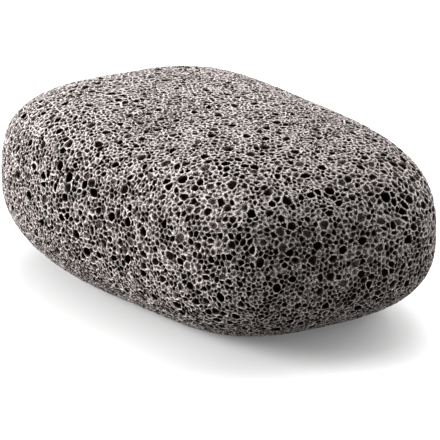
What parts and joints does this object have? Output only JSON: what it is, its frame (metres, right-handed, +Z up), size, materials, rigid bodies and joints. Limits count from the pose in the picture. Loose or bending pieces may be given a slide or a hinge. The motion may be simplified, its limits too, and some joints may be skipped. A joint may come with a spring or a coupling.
{
  "type": "pumice foot stone",
  "caption": "Hand-sized block of porous grey lava with rounded edges and open gas-bubble pits all over, for rubbing hard skin.",
  "frame": {"origin": "on the flat ground underside, at the middle of the stone's box", "axes": "+X along the stone's length, +Y across its width, +Z up"},
  "size_m": [0.1, 0.0672, 0.0387],
  "materials": {
    "grey_lava": "dull and rough, pitted all over"
  },
  "bodies": {
    "root": {"pumice_stone": "grey_lava"}
  },
  "joints": []
}
